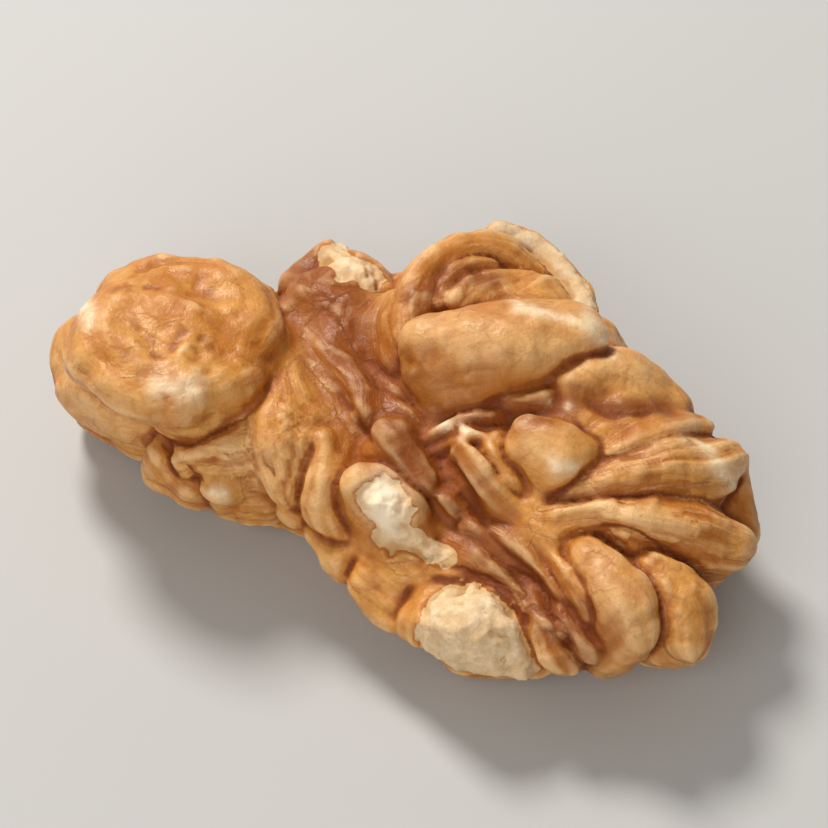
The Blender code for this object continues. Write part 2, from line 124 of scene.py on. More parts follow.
# Each fold: how square its section is (2 is round, less is a sharper ridge), how wrinkled it is along
# its length, and the x, y, z and radius of its ridge.
folds = {
    "head": (2.2, 0.5, [(-12.2, -0.8, 7.6, 2.7), (-9.5, -0.8, 7.7, 2.7)]),
    "headRim": (2.2, 0.6, [(-7.4, -1.0, 8.3, 1.8), (-8.3, 1.2, 8.1, 1.9), (-10.8, 2.4, 8.0, 1.9),
                           (-13.3, 1.4, 8.0, 1.8), (-14.2, -1.0, 8.2, 1.6), (-13.1, -3.2, 8.5, 1.7),
                           (-10.8, -4.2, 8.7, 1.8), (-8.6, -3.3, 8.6, 1.8), (-7.4, -1.0, 8.3, 1.8)]),
    "collar": (2.0, 0.4, [(-15.0, -1.0, 5.6, 2.1), (-14.2, -2.1, 5.2, 2.2), (-12.9, -2.5, 4.8, 2.2),
                          (-11.3, -2.5, 4.6, 2.0)]),
    "flank": (2.0, 1.3, [(-8.1, -4.1, 4.8, 1.8), (-6.4, -3.4, 5.2, 2.0), (-4.3, -3.0, 5.4, 2.1)]),
    "flankLobe": (2.0, 0.9, [(-9.6, -4.8, 4.2, 1.3), (-7.9, -5.2, 3.9, 1.4)]),
    "chin": (2.0, 1.0, [(-6.5, -5.0, 3.6, 1.3), (-4.8, -4.4, 3.6, 1.4)]),
    "chinBead": (2.0, 0.0, [(-6.3, -5.7, 4.9, 0.7), (-6.0, -5.8, 5.0, 0.7)]),
    "shoulder": (1.9, 1.0, [(-4.8, -1.2, 7.0, 1.3), (-3.8, -2.9, 6.6, 1.6), (-2.9, -4.2, 5.5, 1.5)]),
    "shoulderSide": (1.7, 0.8, [(-2.4, -2.6, 7.0, 0.9), (-1.3, -4.1, 6.3, 1.2), (-0.6, -5.1, 5.3, 1.2)]),
    "edgeBead1": (2.0, 0.2, [(-2.6, -5.1, 4.6, 0.9), (-2.3, -5.1, 4.5, 0.9)]),
    "edgeBead2": (2.0, 0.4, [(-0.8, -5.6, 4.2, 1.0), (0.2, -6.1, 3.9, 1.2)]),
    "edgeBead3": (1.8, 0.6, [(1.9, -6.4, 3.9, 1.2), (3.9, -7.0, 3.8, 1.2)]),
    "brokenTip": (2.2, 0.2, [(5.1, -7.2, 4.0, 1.4), (7.2, -7.1, 4.2, 2.2), (9.1, -6.8, 3.6, 1.4)]),
    "brokenKnob": (2.1, 0.3, [(0.9, -3.8, 6.9, 1.6), (1.5, -4.2, 6.6, 1.7), (3.2, -4.7, 5.5, 1.2),
                              (4.4, -4.5, 5.1, 1.0)]),
    "lowStrip": (1.6, 1.0, [(5.4, -4.8, 5.7, 1.1), (7.7, -5.5, 5.5, 1.1), (10.0, -6.1, 5.0, 1.0),
                            (11.2, -6.9, 4.3, 0.9)]),
    "highStrip": (1.5, 1.0, [(5.2, -3.2, 6.3, 0.9), (7.9, -4.2, 6.1, 0.9), (10.3, -5.0, 5.7, 0.9),
                             (12.4, -5.9, 4.9, 0.9)]),
    "sliver": (1.5, 0.8, [(8.6, -3.2, 6.3, 0.4), (10.4, -4.3, 6.5, 0.7), (12.1, -5.1, 6.1, 0.7),
                          (13.5, -5.7, 5.2, 0.6)]),
    "almond": (2.0, 0.6, [(11.5, -3.4, 6.6, 1.3), (13.1, -4.3, 6.2, 1.6), (14.2, -5.0, 5.6, 1.3)]),
    "almondSide": (2.0, 0.7, [(14.3, -2.4, 6.0, 1.2), (15.7, -3.1, 5.4, 1.6), (16.3, -4.1, 4.6, 1.3)]),
    "seamRidge": (1.6, 1.2, [(-4.0, 1.8, 7.7, 0.7), (-2.4, 0.9, 7.9, 0.7), (-1.5, -0.4, 7.8, 0.7)]),
    "seamBump": (2.0, 0.6, [(0.5, -1.5, 7.6, 1.2), (2.1, -2.3, 7.2, 1.1)]),
    "seamWall": (1.6, 1.2, [(-1.7, 2.2, 7.7, 0.7), (0.5, 0.4, 7.5, 0.7)]),
    "seamTail": (1.7, 0.8, [(3.8, -2.8, 7.0, 0.8), (4.8, -3.0, 6.6, 0.7)]),
    "backFold": (1.7, 1.0, [(-0.3, 3.2, 8.2, 1.2), (-1.3, 4.9, 8.3, 1.3), (-1.5, 7.0, 8.2, 1.4),
                            (-0.9, 9.3, 7.9, 1.4), (0.6, 10.4, 7.5, 1.3), (2.2, 10.4, 7.1, 1.0)]),
    "backMiddle": (1.7, 0.9, [(-0.4, 5.6, 8.5, 0.8), (-0.3, 7.6, 8.5, 0.9), (0.6, 9.0, 8.2, 0.8)]),
    "backInner": (1.8, 0.8, [(0.4, 6.2, 8.4, 1.1), (1.1, 8.0, 8.2, 1.1), (2.5, 9.1, 7.6, 1.1)]),
    "backRim": (1.7, 0.4, [(-0.4, 12.2, 6.9, 0.7), (1.2, 12.5, 6.8, 0.8), (3.0, 11.7, 6.7, 0.8),
                           (4.7, 10.2, 6.9, 0.8), (5.6, 9.2, 7.1, 0.8)]),
    "backWall": (1.8, 1.0, [(-0.3, 11.5, 5.7, 1.2), (1.3, 11.7, 5.5, 1.3), (3.1, 10.9, 5.4, 1.3),
                            (4.7, 9.6, 5.7, 1.3), (5.5, 8.8, 6.0, 1.2)]),
    "backChip": (1.8, 0.4, [(-6.8, 7.8, 6.6, 0.9), (-5.4, 7.3, 6.6, 0.9)]),
    "crown": (2.2, 0.5, [(1.2, 3.1, 8.7, 2.1), (3.4, 4.0, 9.1, 2.5), (5.9, 5.7, 8.8, 2.2)]),
    "cheek": (2.1, 0.4, [(7.6, 4.6, 8.3, 1.8), (9.0, 5.7, 7.4, 1.9)]),
    "pinch1": (1.7, 0.3, [(1.7, -0.7, 7.9, 0.25), (2.9, 0.6, 8.6, 0.42), (4.2, 1.2, 8.8, 0.38),
                          (5.2, 1.7, 8.5, 0.2)]),
    "pinch2": (1.7, 0.3, [(2.2, -0.9, 7.8, 0.25), (3.6, -0.1, 8.6, 0.42), (4.9, 0.5, 8.4, 0.25)]),
    "pinch3": (1.7, 0.3, [(3.4, 1.5, 9.0, 0.25), (5.0, 1.9, 9.1, 0.4), (6.7, 2.8, 9.0, 0.5),
                          (7.4, 3.5, 8.8, 0.3)]),
    "pinch5": (1.7, 0.2, [(2.2, -0.6, 7.9, 0.2), (3.2, 0.15, 8.6, 0.34), (4.4, 0.8, 8.5, 0.2)]),
    "pinch4": (1.7, 0.3, [(3.9, 2.3, 9.1, 0.25), (5.5, 3.0, 9.3, 0.35), (6.5, 3.9, 9.1, 0.25)]),
    "knuckle": (2.0, 0.4, [(6.6, 0.5, 8.4, 1.3), (8.3, 0.5, 8.2, 1.6)]),
    "knuckleSide": (1.8, 0.7, [(9.2, 2.3, 7.8, 1.2), (9.9, 3.9, 7.6, 1.1), (10.8, 5.5, 7.0, 1.1)]),
    "wedge": (1.4, 0.6, [(2.7, -0.5, 7.8, 0.35), (3.6, -0.8, 8.3, 0.75), (4.8, -1.4, 8.0, 1.0),
                         (6.3, -2.0, 7.2, 0.8)]),
    "wedgeBack": (1.7, 0.6, [(4.8, 0.1, 8.0, 1.0), (6.1, -0.8, 7.6, 1.0)]),
    "fanTop": (1.7, 0.9, [(10.3, 1.5, 7.9, 0.9), (11.4, 3.1, 7.5, 1.0), (12.5, 5.0, 6.8, 0.9)]),
    "fanMiddle": (1.6, 1.4, [(8.8, -0.6, 7.6, 0.8), (11.5, 0.8, 7.5, 1.4), (13.4, 2.8, 6.7, 1.7),
                             (14.2, 4.4, 5.9, 1.4)]),
    "fanLow": (1.6, 1.4, [(9.2, -1.6, 7.2, 0.8), (12.4, -0.7, 6.9, 1.4), (14.6, 0.1, 6.1, 1.7),
                          (15.9, 0.9, 5.2, 1.6)]),
    "fanEdge": (1.8, 0.8, [(14.7, 4.2, 5.2, 1.2), (15.6, 2.6, 4.6, 1.3)]),
    "nape": (2.0, 0.6, [(-13.4, 2.2, 6.2, 2.2), (-14.6, 3.0, 4.4, 2.2), (-14.2, 3.0, 3.0, 1.9)]),
    "napeSide": (1.9, 0.6, [(-9.4, 2.8, 6.2, 2.2), (-9.8, 4.0, 4.4, 2.0), (-9.6, 3.8, 2.6, 1.8)]),
    "napeLow": (1.8, 0.8, [(-12.4, 3.9, 4.2, 1.3), (-11.8, 4.3, 2.9, 1.4), (-11.2, 3.6, 1.9, 1.4)]),
    "neckBack": (1.8, 0.8, [(-7.4, 3.0, 5.8, 1.8), (-7.2, 4.2, 4.4, 1.6), (-7.0, 3.6, 3.0, 1.6)]),
    "isthmusBack": (1.9, 0.8, [(-5.4, 6.6, 5.8, 2.2), (-4.6, 8.0, 3.8, 1.7), (-3.8, 8.2, 2.6, 1.4)]),
    "rimRib1": (1.8, 0.8, [(-2.0, 10.2, 6.0, 1.5), (-1.6, 11.0, 4.2, 1.6), (-1.4, 10.4, 2.2, 1.6)]),
    "rimRib2": (1.7, 1.0, [(0.8, 11.6, 4.8, 1.4), (1.0, 11.4, 3.2, 1.5), (1.2, 10.4, 2.1, 1.4)]),
    "rimRib3": (1.8, 0.8, [(3.0, 8.6, 7.4, 1.6), (3.4, 10.2, 5.4, 1.6), (3.6, 10.2, 3.4, 1.6),
                           (3.2, 9.2, 2.0, 1.6)]),
    "rimRib4": (1.7, 1.0, [(5.4, 9.2, 5.6, 1.3), (6.0, 9.4, 3.6, 1.4), (5.6, 8.4, 2.0, 1.5)]),
    "rimRib5": (1.8, 0.8, [(6.6, 8.0, 6.8, 1.6), (8.2, 8.0, 4.6, 1.6), (8.2, 7.6, 2.8, 1.6),
                           (7.8, 6.8, 1.8, 1.4)]),
    "rimRib6": (1.7, 1.0, [(10.0, 6.0, 5.6, 1.5), (10.8, 6.6, 4.0, 1.4), (10.4, 5.8, 2.2, 1.6)]),
    "rimRib7": (1.7, 1.0, [(12.6, 5.0, 4.6, 1.3), (12.6, 4.8, 3.0, 1.3), (12.0, 4.0, 2.0, 1.4)]),
    "rimRib8": (1.8, 0.9, [(14.2, 3.4, 4.0, 1.5), (14.4, 2.4, 2.6, 1.5)]),
    "rimRib9": (1.7, 1.0, [(15.0, 0.6, 3.8, 1.5), (14.4, 0.2, 2.2, 1.6)]),
    "fanFoot": (1.8, 0.8, [(14.4, -1.6, 3.4, 1.7), (13.4, -2.2, 2.0, 1.9)]),
    "valleyFoot": (1.8, 0.8, [(11.4, -3.6, 3.0, 1.5), (9.6, -3.4, 2.6, 1.3)]),
    "tipFoot": (2.0, 1.1, [(6.8, -6.0, 2.1, 2.1), (9.4, -5.6, 2.6, 1.6)]),
    "flankFoot": (1.8, 1.5, [(-7.0, -2.4, 2.2, 1.9), (-3.2, -2.6, 2.2, 1.8), (0.6, -3.6, 2.3, 1.8),
                             (3.4, -4.7, 2.4, 1.7)]),
    "collarFoot": (2.0, 1.1, [(-14.0, -0.8, 2.3, 2.0), (-11.6, -1.8, 2.4, 2.0)]),
    "underHead": (1.7, 1.4, [(-12.2, 0.4, 1.9, 1.4), (-9.6, 1.0, 1.7, 1.4), (-7.0, 0.2, 1.9, 1.3)]),
    "underFan1": (1.7, 1.4, [(-0.4, 7.6, 1.9, 1.3), (3.6, 7.0, 1.6, 1.4), (7.4, 5.0, 1.6, 1.4),
                             (10.8, 2.4, 1.8, 1.3)]),
    "underFan2": (1.7, 1.4, [(0.8, 5.2, 2.3, 1.3), (4.0, 4.6, 1.9, 1.4), (7.4, 2.6, 1.8, 1.4),
                             (10.4, 0.0, 2.0, 1.3)]),
    "underFan3": (1.6, 1.4, [(3.4, 2.2, 3.0, 1.2), (6.6, 0.6, 2.6, 1.3), (9.4, -1.6, 2.5, 1.2)]),
}

# Marks placed as the camera sees them: width, depth for a crease, and points across and up the picture.
# A crease is carved and darkened with painted shade, red is a reddish patch, pale is lighter skin,
# the next kind is wear and painted highlights, nearly white, and flesh is bare.
marks = {
    "crease": [
        (0.16, 0.04, [(-14.4, 8.3), (-12.9, 8.1), (-11.1, 8.5), (-9.5, 8.1)]),
        (0.2, 0.1, [(-5.2, 7.6), (-6.6, 6.9), (-7.9, 7.4)]),
        (0.16, 0.08, [(-12.6, 7.5), (-10.2, 7.4), (-8.2, 7.0), (-6.6, 6.8)]),
        (0.22, 0.16, [(-11.5, 3.9), (-9.9, 2.5), (-8.5, 1.3), (-7.5, 0.7)]),
        (0.16, 0.08, [(-10.7, 3.5), (-8.8, 3.0), (-6.7, 3.4)]),
        (0.16, 0.08, [(-9.4, 3.9), (-8.4, 2.6), (-7.6, 1.6)]),
        (0.2, 0.14, [(-6.7, 2.9), (-5.4, 1.8), (-5.0, 0.0)]),
        (0.16, 0.08, [(-5.6, 4.4), (-4.6, 3.2), (-4.3, 1.4)]),
        (0.2, 0.2, [(-2.8, 6.5), (-1.8, 4.7), (-0.8, 2.6)]),
        (0.16, 0.12, [(-3.5, 8.4), (-2.6, 7.0), (-1.6, 5.9)]),
        (0.16, 0.12, [(-2.5, 10.0), (-1.6, 8.4), (-0.6, 7.2)]),
        (0.2, 0.2, [(-1.5, 6.7), (0.0, 5.7), (1.7, 5.1)]),
        (0.2, 0.1, [(0.3, 8.3), (0.8, 6.7), (1.7, 5.4)]),
        (0.25, 0.3, [(1.9, 3.4), (3.0, 1.8), (3.7, 0.3), (4.9, -1.3), (6.4, -2.7), (7.7, -4.1),
                     (8.6, -5.3)]),
        (0.16, 0.12, [(3.4, -0.7), (5.2, -2.7), (7.0, -4.5)]),
        (0.2, 0.18, [(8.2, -0.1), (10.1, -0.4), (12.1, -1.3), (14.2, -2.4)]),
        (0.16, 0.15, [(3.6, 4.5), (5.2, 4.9), (6.7, 5.2)]),
        (0.22, 0.22, [(8.4, 5.3), (9.8, 4.6), (11.3, 4.6), (12.7, 5.0)]),
        (0.16, 0.1, [(1.6, 10.9), (3.2, 11.5), (4.8, 11.0)]),
        (0.14, 0.08, [(9.4, 1.6), (11.4, 1.9), (13.6, 2.1)]),
        (0.14, 0.08, [(10.2, 0.4), (12.4, 0.3), (14.8, -0.4)]),
    ],
    "red": [
        (1.9, [(-3.6, 11.4), (-2.6, 9.0), (-1.2, 6.2), (0.6, 3.6), (2.0, 1.6)]),
        (1.2, [(2.0, 1.6), (3.8, -1.0), (6.0, -3.2), (8.4, -5.6)]),
        (0.7, [(2.4, 4.4), (5.4, 4.6), (8.2, 5.2)]),
        (0.6, [(0.9, 9.9), (2.6, 11.0), (4.6, 10.9)]),
        # painted shade: a darker band along the crease under the cheek
        (0.45, [(8.8, 5.2), (10.2, 4.8), (12.4, 5.0)]),
    ],
    "pale": [
        (1.3, [(2.8, 7.9), (5.4, 7.7), (8.0, 7.3)]),
        (0.9, [(10.0, 7.1), (11.2, 6.5)]),
        (0.8, [(6.2, 3.3), (7.2, 2.8)]),
        (0.6, [(10.4, 2.7), (11.8, 3.1), (13.2, 3.6)]),
        (0.7, [(8.6, 0.6), (10.6, 0.0), (12.8, -0.9)]),
        (0.8, [(9.0, -2.2), (9.8, -3.6), (10.6, -5.0)]),
        (0.7, [(1.6, 7.9), (1.9, 9.2), (3.2, 9.9)]),
        (1.2, [(-7.6, 3.2), (-6.0, 2.4)]),
        (0.9, [(-4.1, 2.6), (-3.4, 0.8)]),
        (1.0, [(-14.9, 6.6), (-14.0, 5.3), (-12.6, 4.4)]),
    ],
    "worn": [
        # wear and painted highlights along edges and ridges, and on the knob's bare flesh
        (0.65, [(-15.4, 10.9), (-14.9, 10.1), (-14.2, 9.3)]),
        (0.6, [(-10.7, 6.1), (-9.8, 5.6), (-8.9, 5.7)]),
        (0.3, [(5.4, 9.5), (7.2, 9.2), (8.7, 8.7), (9.6, 8.0), (9.9, 7.4)]),
        (0.5, [(8.9, 8.9), (9.4, 8.1)]),
        (0.3, [(1.8, 4.5), (2.7, 4.1), (3.6, 3.9)]),
        (0.25, [(7.3, 5.1), (7.9, 4.95)]),
        (0.45, [(13.6, 3.6), (14.3, 2.6), (15.4, 1.6)]),
        (0.35, [(7.3, 2.3), (8.4, 2.0)]),
        (0.2, [(-8.3, 1.1), (-7.8, 0.9)]),
        (0.8, [(-0.5, 1.2), (-0.2, -0.2)]),
    ],
    "flesh": [
        (1.25, [(-0.4, 0.7), (0.0, -0.6)]),
        (0.75, [(1.0, -1.2), (1.9, -1.6)]),
        (0.7, [(-3.2, 12.4), (-2.0, 11.4), (-0.9, 10.9)]),
    ],
}


def growPath(points, step):
    # A smooth curve through the points, with a row of x, y, z, radius about every step.
    p = np.array(points, float)
    p = np.vstack([2 * p[0] - p[1], p, 2 * p[-1] - p[-2]])
    rows = []
    for a, b, c, d in zip(p, p[1:], p[2:], p[3:]):
        count = max(1, round(np.linalg.norm((c - b)[:3]) / step))
        for t in np.arange(count) / count:
            rows.append(0.5 * (2 * b + (c - a) * t + (2 * a - 5 * b + 4 * c - d) * t ** 2
                               + (3 * b - 3 * c + d - a) * t ** 3))
    return np.array(rows + [p[-2]])


def noiseAt(points, size, seed):
    # Smooth noise from -1 to 1 at each point, with lumps of about the given size.
    table = np.random.default_rng(seed).uniform(-1, 1, (32, 32, 32)).astype(np.float32)
    q = points / size + 100.37
    cell = np.floor(q).astype(np.int32)
    f = (q - cell).astype(np.float32)
    f = f * f * f * (f * (f * 6 - 15) + 10)
    total = 0
    for corner in range(8):
        bits = [(corner >> axis) & 1 for axis in range(3)]
        weight = 1
        for axis in range(3):
            weight = weight * (f[..., axis] if bits[axis] else 1 - f[..., axis])
        total = total + weight * table[tuple((cell[..., axis] + bits[axis]) & 31 for axis in range(3))]
    return total


def cellsAt(points, size, seed):
    # For each point: how far the nearest two crumbs are, and the height of the nearest one's tilted face.
    rng = np.random.default_rng(seed)
    jitter = rng.uniform(0, 1, (16, 16, 16, 3))
    tilt = rng.normal(0, 1, (16, 16, 16, 3))
    q = points / size + 100.37
    cell = np.floor(q).astype(np.int32)
    first = np.full(len(points), 9.0)
    second = first.copy()
    face = np.zeros(len(points))
    for step in np.ndindex(3, 3, 3):
        c = cell + np.array(step) - 1
        key = tuple((c & 15).T)
        away = q - c - jitter[key]
        d = (away ** 2).sum(1)
        nearer = d < first
        second = np.where(nearer, first, np.minimum(second, d))
        face = np.where(nearer, (away * tilt[key]).sum(1) + tilt[key][:, 0] * 0.5, face)
        first = np.where(nearer, d, first)
    return np.sqrt(first), np.sqrt(second), face


def softMin(a, b, width):
    h = np.clip(0.5 + 0.5 * (b - a) / width, 0, 1)
    return b + (a - b) * h - width * h * (1 - h)


def smoothStep(value, low, high):
    t = np.clip((value - low) / (high - low), 0, 1)
    return t * t * (3 - 2 * t)


def warp(points):
    moved = points.copy()
    for n, (size, depth) in enumerate(kernel["swell"]):
        for axis in range(3):
            moved[..., axis] += depth * noiseAt(points, size, 10 * n + axis + 1)
    return moved


def chainDistance(points, path):
    best = np.full(len(points), kernel["farAway"], np.float32)
    for a, b in zip(path, path[1:]):
        along = b[:3] - a[:3]
        t = np.clip((points - a[:3]) @ along / (along @ along), 0, 1)
        away = points - a[:3] - t[:, None] * along
        best = np.minimum(best, np.sqrt((away ** 2).sum(1)) - a[3] - (b[3] - a[3]) * t)
    return best


def wallDirection(path, cores):
    # At each point of a ridge, the way down into the body below it.
    gap = cores[None, :, :3] - path[:, None, :3]
    down = cores[np.argmin((gap ** 2).sum(2), axis=1), :3] - path[:, :3]
    return down / (np.linalg.norm(down, axis=1)[:, None] + 1e-6)


def foldDistance(points, path, down, square):
    # Distance to a fold shaped like a wall with a rounded top, and the place along and around it.
    n = len(points)
    best = np.full(n, kernel["farAway"], np.float32)
    along, around = np.zeros(n, np.float32), np.zeros(n, np.float32)
    start = 0.0
    for a, b, dn in zip(path, path[1:], down):
        ahead = b[:3] - a[:3]
        length = np.linalg.norm(ahead)
        ahead = ahead / length
        dn = dn - (dn @ ahead) * ahead
        dn = dn / (np.linalg.norm(dn) + 1e-6)
        rel = points - a[:3].astype(np.float32)
        run = rel @ ahead.astype(np.float32)
        t = np.clip(run / length, 0, 1)
        past = run - t * length
        sideways = rel @ np.cross(ahead, dn).astype(np.float32)
        below = rel @ dn.astype(np.float32)
        wall = np.clip(below, 0, kernel["wallDepth"])
        radius = a[3] + (b[3] - a[3]) * t + kernel["wallFlare"] * wall
        across = (np.abs(sideways) ** square + np.abs(below - wall) ** square) ** (1 / square)
        d = np.sqrt(across ** 2 + past ** 2) - radius
        near = d < best
        best = np.where(near, d, best)
        along = np.where(near, start + t * length, along)
        around = np.where(near, radius * np.arctan2(sideways, wall - below + 1e-4)
                          + np.sign(sideways) * wall, around)
        start += length
    return best, along, around


def foldGroups(step):
    # The folds, group by group, each with its number, its path and the block of space that it reaches.
    cores = np.vstack([growPath(points, 0.5) for points in bodies.values()])
    names = list(folds)
    grouped = [name for join, group in kernel["grownTogether"] for name in group]
    alone = [(0, (name,)) for name in names if name not in grouped]
    for join, group in list(kernel["grownTogether"]) + alone:
        rows = []
        for name in group:
            path = growPath(folds[name][2], step)
            reach = path[:, 3].max() + kernel["foldReach"]
            rows.append((names.index(name) + 1, folds[name][0], path, wallDirection(path, cores),
                         path[:, :3].min(0) - reach, path[:, :3].max(0) + reach))
        yield join, rows


def upsample(values, coarse, fine):
    # Straight-line steps from a coarse grid to a fine one.
    for axis in range(3):
        place = (fine[axis] - coarse[axis][0]) / (coarse[axis][1] - coarse[axis][0])
        cell = np.clip(place.astype(int), 0, len(coarse[axis]) - 2)
        part = (place - cell).astype(np.float32).reshape([-1 if i == axis else 1 for i in range(3)])
        values = values.take(cell, axis) * (1 - part) + values.take(cell + 1, axis) * part
    return values


def buildField():
    # Signed distance to the kernel, on a grid.
    low, high = (np.array(corner) for corner in kernel["gridBox"])
    wide = kernel["coarseStep"]
    fine = [np.arange(low[i], high[i], kernel["gridStep"]) for i in range(3)]
    coarse = [np.arange(low[i] - wide, high[i] + 2 * wide, wide) for i in range(3)]
    lattice = np.stack(np.meshgrid(*coarse, indexing="ij"), axis=-1).astype(np.float32)
    lattice = warp(lattice)
    warped = np.stack([upsample(lattice[..., axis], coarse, fine) for axis in range(3)], axis=-1)
    shape = warped.shape[:3]
    say(f"grid of {shape}")

    def block(lo, hi):
        return tuple(slice(*np.searchsorted(fine[i], (lo[i], hi[i]))) for i in range(3))

    body = np.full(shape, kernel["outside"], np.float32)
    for points in bodies.values():
        path = growPath(points, 1.2)
        reach = path[:, 3].max() + kernel["bodyReach"]
        cut = block(path[:, :3].min(0) - reach, path[:, :3].max(0) + reach)
        near = warped[cut]
        d = chainDistance(near.reshape(-1, 3), path).reshape(near.shape[:3])
        body[cut] = softMin(body[cut], d, kernel["bodyBlend"])
    field = np.full(shape, kernel["outside"], np.float32)
    for join, rows in foldGroups(0.8):
        together = block(np.min([row[4] for row in rows], 0), np.max([row[5] for row in rows], 0))
        grown = np.full(shape, kernel["outside"], np.float32)
        for number, square, path, down, lo, hi in rows:
            cut = block(lo, hi)
            outer = body[cut] > -1.0
            part = grown[cut]
            d = foldDistance(warped[cut][outer], path, down, square)[0]
            part[outer] = softMin(part[outer], d, join) if join else np.minimum(part[outer], d)
        field[together] = softMin(field[together], grown[together], kernel["foldJoin"])
    field = softMin(field, body, kernel["bodyJoin"])
    flat = kernel["restHeight"] - fine[2]
    field = np.maximum(field, flat.astype(np.float32))
    return field, low


def fillPinches(field):
    # Fills the places where the kernel would touch itself only along a line.
    for _ in range(12):
        pinched = 0
        for axis in range(3):
            plane = np.moveaxis(field, axis, 0)
            inside = plane < 0
            corner = [inside[:, i:inside.shape[1] - 1 + i, j:inside.shape[2] - 1 + j]
                      for i, j in ((0, 0), (0, 1), (1, 1), (1, 0))]
            crossed = (corner[0] == corner[2]) & (corner[1] == corner[3]) & (corner[0] != corner[1])
            for place in np.argwhere(crossed):
                for i, j in ((0, 0), (0, 1), (1, 1), (1, 0)):
                    spot = (place[0], place[1] + i, place[2] + j)
                    if plane[spot] >= 0:
                        plane[spot] = -0.01
            pinched += int(crossed.sum())
        if not pinched:
            break


def wrapSurface(field, low):
    # A closed net of quads round the inside of the field.
    cells = tuple(n - 1 for n in field.shape)
    inside = field < 0
    count = np.zeros(cells, np.uint8)
    for c in range(8):
        o = [(c >> i) & 1 for i in range(3)]
        count += inside[o[0]:o[0] + cells[0], o[1]:o[1] + cells[1], o[2]:o[2] + cells[2]]
    cell = np.argwhere((count > 0) & (count < 8))
    index = np.full(cells, -1, np.int32)
    index[tuple(cell.T)] = np.arange(len(cell))
    total = np.zeros((len(cell), 3))
    hits = np.zeros(len(cell))
    for axis in range(3):
        u, v = [i for i in range(3) if i != axis]
        for du, dv in ((0, 0), (0, 1), (1, 0), (1, 1)):
            start = cell.copy()
            start[:, u] += du
            start[:, v] += dv
            end = start.copy()
            end[:, axis] += 1
            f0, f1 = field[tuple(start.T)], field[tuple(end.T)]
            crossed = (f0 < 0) != (f1 < 0)
            place = start + 0.0
            place[:, axis] += np.where(crossed, f0 / np.where(crossed, f0 - f1, 1), 0)
            total += place * crossed[:, None]
            hits += crossed
    points = low + kernel["gridStep"] * total / hits[:, None]
    quads = []
    for axis in range(3):
        u, v = (axis + 1) % 3, (axis + 2) % 3
        a = inside.take(np.arange(field.shape[axis] - 1), axis)
        b = inside.take(np.arange(1, field.shape[axis]), axis)
        edge = np.argwhere(a != b)
        outward = a[tuple(edge.T)]
        corner = []
        for du, dv in ((1, 1), (0, 1), (0, 0), (1, 0)):
            c = edge.copy()
            c[:, u] -= du
            c[:, v] -= dv
            corner.append(index[tuple(c.T)])
        quad = np.stack(corner, axis=1)
        quad[~outward] = quad[~outward][:, ::-1]
        quads.append(quad)
    return points, np.vstack(quads)


def meshEdges(quads):
    edges = np.vstack([quads[:, [i, (i + 1) % 4]] for i in range(4)])
    return np.unique(np.sort(edges, axis=1), axis=0)


def keepLargest(points, quads):
    # Drops any crumb that isn't joined to the kernel.
    edges = meshEdges(quads)
    label = np.arange(len(points))
    while True:
        old = label.copy()
        np.minimum.at(label, edges[:, 0], old[edges[:, 1]])
        np.minimum.at(label, edges[:, 1], old[edges[:, 0]])
        label = label[label]
        if (label == old).all():
            break
    keep = label == np.bincount(label).argmax()
    renumber = np.cumsum(keep) - 1
    return points[keep], renumber[quads[keep[quads[:, 0]]]]


def spread(values, edges, weight=1.0, times=1):
    # Moves each value towards the mean of its neighbours.
    flat = values.reshape(len(values), -1)
    degree = np.bincount(edges.ravel(), minlength=len(flat))
    for _ in range(times):
        out = np.empty_like(flat)
        for axis in range(flat.shape[1]):
            v = flat[:, axis]
            total = (np.bincount(edges[:, 0], v[edges[:, 1]], len(v))
                     + np.bincount(edges[:, 1], v[edges[:, 0]], len(v)))
            out[:, axis] = v + weight * (total / degree - v)
        flat = out
    return flat.reshape(values.shape)


def pointNormals(points, quads):
    a, b, c, d = (points[quads[:, i]] for i in range(4))
    face = np.cross(c - a, d - b)
    normal = np.zeros_like(points)
    for axis in range(3):
        normal[:, axis] = np.bincount(quads.ravel(), np.repeat(face[:, axis], 4), len(points))
    return normal / (np.linalg.norm(normal, axis=1)[:, None] + 1e-12)


def nearestFold(points):
    # For each point: its fold's number, how far it is from that fold and from the next one, and its
    # place along and around the fold.
    moved = warp(points)
    n = len(points)
    first, second = np.full((2, n), kernel["farAway"])
    owner, along, around = np.zeros(n, int), np.zeros(n), np.zeros(n)
    for join, rows in foldGroups(0.5):
        group = np.full(n, kernel["farAway"])
        groupOwner, groupAlong, groupAround = np.zeros(n, int), np.zeros(n), np.zeros(n)
        for number, square, path, down, lo, hi in rows:
            near = np.flatnonzero(((points > lo) & (points < hi)).all(1))
            d, s, a = foldDistance(moved[near].astype(np.float32), path, down, square)
            better = d < group[near]
            hit = near[better]
            group[hit], groupOwner[hit] = d[better], number
            groupAlong[hit], groupAround[hit] = s[better], a[better]
        better = group < first
        second = np.where(better, first, np.minimum(second, group))
        for old, new in ((first, group), (owner, groupOwner), (along, groupAlong), (around, groupAround)):
            old[better] = new[better]
    return owner, first, second, along, around


